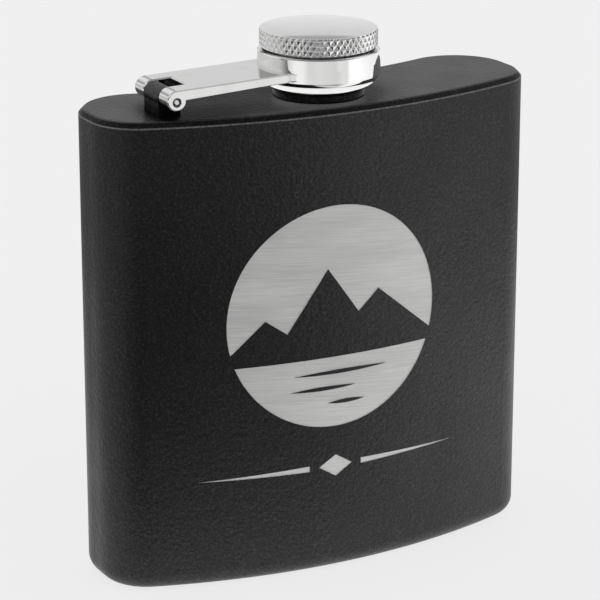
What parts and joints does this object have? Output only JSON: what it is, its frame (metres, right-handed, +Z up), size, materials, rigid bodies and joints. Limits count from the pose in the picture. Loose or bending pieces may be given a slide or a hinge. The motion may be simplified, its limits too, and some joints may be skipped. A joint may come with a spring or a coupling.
{
  "type": "hip flask",
  "caption": "Curved kidney-section hip flask with a bevelled top, short threaded neck and a knurled screw cap held captive in the ring of a hinged arm.",
  "frame": {"origin": "on the flat base, under the axis of the neck", "axes": "+Z up along the neck; +Y from the convex front to the concave back; the hinge of the arm is at -X"},
  "size_m": [0.095, 0.0318, 0.1096],
  "materials": {
    "coated_shell": "satin black powder coat with a fine orange-peel grain",
    "steel": "turned stainless steel",
    "chrome": "bright chrome plate",
    "insert": "black moulded plastic",
    "silicone": "translucent grey silicone",
    "nylon": "natural nylon"
  },
  "bodies": {
    "flask": {"body_wrap": "coated_shell", "base_plate": "coated_shell", "top_plate": "coated_shell", "neck": "steel", "neck_collar": "coated_shell", "hinge_bracket": "coated_shell"},
    "arm": {"cap_arm": "chrome", "hinge_pin": "steel", "slip_washer": "nylon"},
    "cap_carrier": {"retaining_ring": "steel"},
    "cap": {"cap_knob": "chrome", "cap_insert": "insert", "cap_seal": "silicone"}
  },
  "joints": [
    {"name": "arm_hinge", "type": "hinge", "parent": "flask", "child": "arm", "pos_m": [-0.0344, 0, 0.09965], "axis": [0, -1, 0], "range_deg": [0, 180]},
    {"name": "cap_lift", "type": "slide", "parent": "arm", "child": "cap_carrier", "axis": [0, 0, 1], "range_m": [0, 0.00226]},
    {"name": "cap_turn", "type": "hinge", "parent": "cap_carrier", "child": "cap", "pos_m": [0, 0, 0.1], "axis": [0, 0, 1], "range_deg": [0, 540]}
  ],
  "couplings": [
    {"joint": "cap_lift", "follows": "cap_turn", "m_per_rad": 0.00023873}
  ]
}
